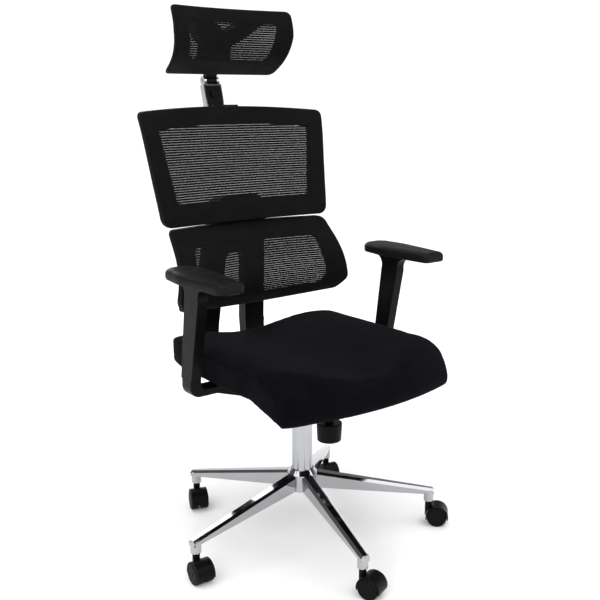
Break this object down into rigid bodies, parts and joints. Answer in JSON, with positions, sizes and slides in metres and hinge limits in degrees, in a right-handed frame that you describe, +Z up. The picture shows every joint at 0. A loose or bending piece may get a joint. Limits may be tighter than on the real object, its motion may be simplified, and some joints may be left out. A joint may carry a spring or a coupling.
{
  "type": "swivel office chair",
  "caption": "High-backed mesh office chair with a split back, headrest, padded seat, height-adjustable armrests and a chromed star base on twin-wheel castors.",
  "frame": {"origin": "on the floor, on the axis of the gas column", "axes": "+Z up, -Y the way the sitter faces, +X to the sitter's left"},
  "size_m": [0.6728, 0.7647, 1.26],
  "materials": {
    "chrome": "polished",
    "steel": "machined",
    "black_steel": "powder coated",
    "black_plastic": "fine textured",
    "wheel": "satin",
    "bush": "plain",
    "cushion": "woven black cloth",
    "mesh": "open mesh cloth",
    "arm_pad": "soft grained foam"
  },
  "bodies": {
    "base": {"star_base": "chrome", "castor_sockets": "bush", "gas_column_tube": "chrome", "column_guide_bush": "bush", "thrust_bearing": "steel"},
    "swivel_rod": {"piston_rod": "steel"},
    "seat": {"gas_cylinder": "black_steel", "mechanism_housing": "black_steel", "tension_spring": "steel", "recline_shaft": "steel", "seat_pan": "black_plastic", "seat_cushion": "cushion", "seat_fasteners": "steel", "arm_bracket_left": "black_plastic", "arm_bracket_right": "black_plastic"},
    "valve": {"valve_pin": "steel"},
    "gas_lever": {"gas_lever": "black_steel"},
    "tilt_lock_lever": {"tilt_lock_lever": "black_steel"},
    "tension_knob": {"tension_knob": "black_plastic"},
    "back": {"back_carrier": "black_steel", "back_spine": "black_plastic", "upper_frame": "black_plastic", "upper_mesh": "mesh", "lumbar_frame": "black_plastic", "lumbar_mesh": "mesh", "lumbar_arm": "black_plastic", "headrest_socket": "black_plastic", "back_fasteners": "steel"},
    "headrest_post": {"headrest_post": "chrome", "post_cover": "black_plastic", "post_cap": "black_plastic"},
    "headrest": {"headrest_support": "black_plastic", "headrest_frame": "black_plastic", "headrest_mesh": "mesh"},
    "arm_left": {"arm_sleeve_left": "black_plastic", "arm_pad_left": "arm_pad"},
    "arm_button_left": {"arm_button_left": "black_plastic"},
    "arm_right": {"arm_sleeve_right": "black_plastic", "arm_pad_right": "arm_pad"},
    "arm_button_right": {"arm_button_right": "black_plastic"},
    "castor_a": {"castor_a_hood": "black_plastic", "castor_a_pins": "steel"},
    "castor_a_left": {"castor_a_wheel_left": "wheel"},
    "castor_a_right": {"castor_a_wheel_right": "wheel"},
    "castor_b": {"castor_b_hood": "black_plastic", "castor_b_pins": "steel"},
    "castor_b_left": {"castor_b_wheel_left": "wheel"},
    "castor_b_right": {"castor_b_wheel_right": "wheel"},
    "castor_c": {"castor_c_hood": "black_plastic", "castor_c_pins": "steel"},
    "castor_c_left": {"castor_c_wheel_left": "wheel"},
    "castor_c_right": {"castor_c_wheel_right": "wheel"},
    "castor_d": {"castor_d_hood": "black_plastic", "castor_d_pins": "steel"},
    "castor_d_left": {"castor_d_wheel_left": "wheel"},
    "castor_d_right": {"castor_d_wheel_right": "wheel"},
    "castor_e": {"castor_e_hood": "black_plastic", "castor_e_pins": "steel"},
    "castor_e_left": {"castor_e_wheel_left": "wheel"},
    "castor_e_right": {"castor_e_wheel_right": "wheel"}
  },
  "joints": [
    {"name": "seat_swivel", "type": "hinge", "parent": "base", "child": "swivel_rod", "pos_m": [0, 0, 0.2], "axis": [0, 0, 1], "continuous": true},
    {"name": "seat_height", "type": "slide", "parent": "swivel_rod", "child": "seat", "axis": [0, 0, 1], "range_m": [0, 0.09]},
    {"name": "gas_lever_lift", "type": "hinge", "parent": "seat", "child": "gas_lever", "pos_m": [0.0605, 0, 0.3753], "axis": [0, -1, 0], "range_deg": [0, 4], "stiffness_Nm_per_rad": 3, "springref_deg": -5.73},
    {"name": "valve_press", "type": "slide", "parent": "seat", "child": "valve", "axis": [0, 0, 1], "range_m": [-0.00423, 0]},
    {"name": "tilt_lock", "type": "hinge", "parent": "seat", "child": "tilt_lock_lever", "pos_m": [0.0605, -0.052, 0.3753], "axis": [0, -1, 0], "range_deg": [-4, 4]},
    {"name": "tension_knob_turn", "type": "hinge", "parent": "seat", "child": "tension_knob", "pos_m": [0, -0.106, 0.3], "axis": [0, 0, 1], "range_deg": [-540, 540]},
    {"name": "back_recline", "type": "hinge", "parent": "seat", "child": "back", "pos_m": [0, 0.058, 0.368], "axis": [-1, 0, 0], "range_deg": [0, 20], "stiffness_Nm_per_rad": 90, "springref_deg": -20.05},
    {"name": "headrest_height", "type": "slide", "parent": "back", "child": "headrest_post", "axis": [0, 0.2672, 0.9636], "range_m": [-0.055, 0]},
    {"name": "headrest_tilt", "type": "hinge", "parent": "headrest_post", "child": "headrest", "pos_m": [0, 0.38733, 1.09133], "axis": [-1, 0, 0], "range_deg": [-15, 15]},
    {"name": "arm_left_height", "type": "slide", "parent": "seat", "child": "arm_left", "axis": [0, -0.1702, 0.9854], "range_m": [0, 0.07]},
    {"name": "arm_left_button_press", "type": "slide", "parent": "arm_left", "child": "arm_button_left", "axis": [0, -1, 0], "range_m": [0, 0.003], "stiffness_N_per_m": 800, "springref_m": -0.003},
    {"name": "arm_right_height", "type": "slide", "parent": "seat", "child": "arm_right", "axis": [0, -0.1702, 0.9854], "range_m": [0, 0.07]},
    {"name": "arm_right_button_press", "type": "slide", "parent": "arm_right", "child": "arm_button_right", "axis": [0, -1, 0], "range_m": [0, 0.003], "stiffness_N_per_m": 800, "springref_m": -0.003},
    {"name": "castor_a_swivel", "type": "hinge", "parent": "base", "child": "castor_a", "pos_m": [-0.31905, -0.03044, 0.07], "axis": [0, 0, 1], "continuous": true},
    {"name": "castor_a_wheel_left_roll", "type": "hinge", "parent": "castor_a", "child": "castor_a_left", "pos_m": [-0.32001, -0.05242, 0.025], "axis": [0.999, -0.0436, 0], "continuous": true},
    {"name": "castor_a_wheel_right_roll", "type": "hinge", "parent": "castor_a", "child": "castor_a_right", "pos_m": [-0.32001, -0.05242, 0.025], "axis": [0.999, -0.0436, 0], "continuous": true},
    {"name": "castor_b_swivel", "type": "hinge", "parent": "base", "child": "castor_b", "pos_m": [-0.06964, -0.31284, 0.07], "axis": [0, 0, 1], "continuous": true},
    {"name": "castor_b_wheel_left_roll", "type": "hinge", "parent": "castor_b", "child": "castor_b_left", "pos_m": [-0.06122, -0.33317, 0.025], "axis": [0.9239, 0.3827, 0], "continuous": true},
    {"name": "castor_b_wheel_right_roll", "type": "hinge", "parent": "castor_b", "child": "castor_b_right", "pos_m": [-0.06122, -0.33317, 0.025], "axis": [0.9239, 0.3827, 0], "continuous": true},
    {"name": "castor_c_swivel", "type": "hinge", "parent": "base", "child": "castor_c", "pos_m": [0.27601, -0.16291, 0.07], "axis": [0, 0, 1], "continuous": true},
    {"name": "castor_c_wheel_left_roll", "type": "hinge", "parent": "castor_c", "child": "castor_c_left", "pos_m": [0.2917, -0.17833, 0.025], "axis": [0.7009, 0.7133, 0], "continuous": true},
    {"name": "castor_c_wheel_right_roll", "type": "hinge", "parent": "castor_c", "child": "castor_c_right", "pos_m": [0.2917, -0.17833, 0.025], "axis": [0.7009, 0.7133, 0], "continuous": true},
    {"name": "castor_d_swivel", "type": "hinge", "parent": "base", "child": "castor_d", "pos_m": [0.24023, 0.21216, 0.07], "axis": [0, 0, 1], "continuous": true},
    {"name": "castor_d_wheel_left_roll", "type": "hinge", "parent": "castor_d", "child": "castor_d_left", "pos_m": [0.23472, 0.19086, 0.025], "axis": [0.9681, -0.2504, 0], "continuous": true},
    {"name": "castor_d_wheel_right_roll", "type": "hinge", "parent": "castor_d", "child": "castor_d_right", "pos_m": [0.23472, 0.19086, 0.025], "axis": [0.9681, -0.2504, 0], "continuous": true},
    {"name": "castor_e_swivel", "type": "hinge", "parent": "base", "child": "castor_e", "pos_m": [-0.12754, 0.29403, 0.07], "axis": [0, 0, 1], "continuous": true},
    {"name": "castor_e_wheel_left_roll", "type": "hinge", "parent": "castor_e", "child": "castor_e_left", "pos_m": [-0.13489, 0.27329, 0.025], "axis": [0.9426, -0.3338, 0], "continuous": true},
    {"name": "castor_e_wheel_right_roll", "type": "hinge", "parent": "castor_e", "child": "castor_e_right", "pos_m": [-0.13489, 0.27329, 0.025], "axis": [0.9426, -0.3338, 0], "continuous": true}
  ],
  "couplings": [
    {"joint": "valve_press", "follows": "gas_lever_lift", "m_per_rad": -0.0605}
  ]
}
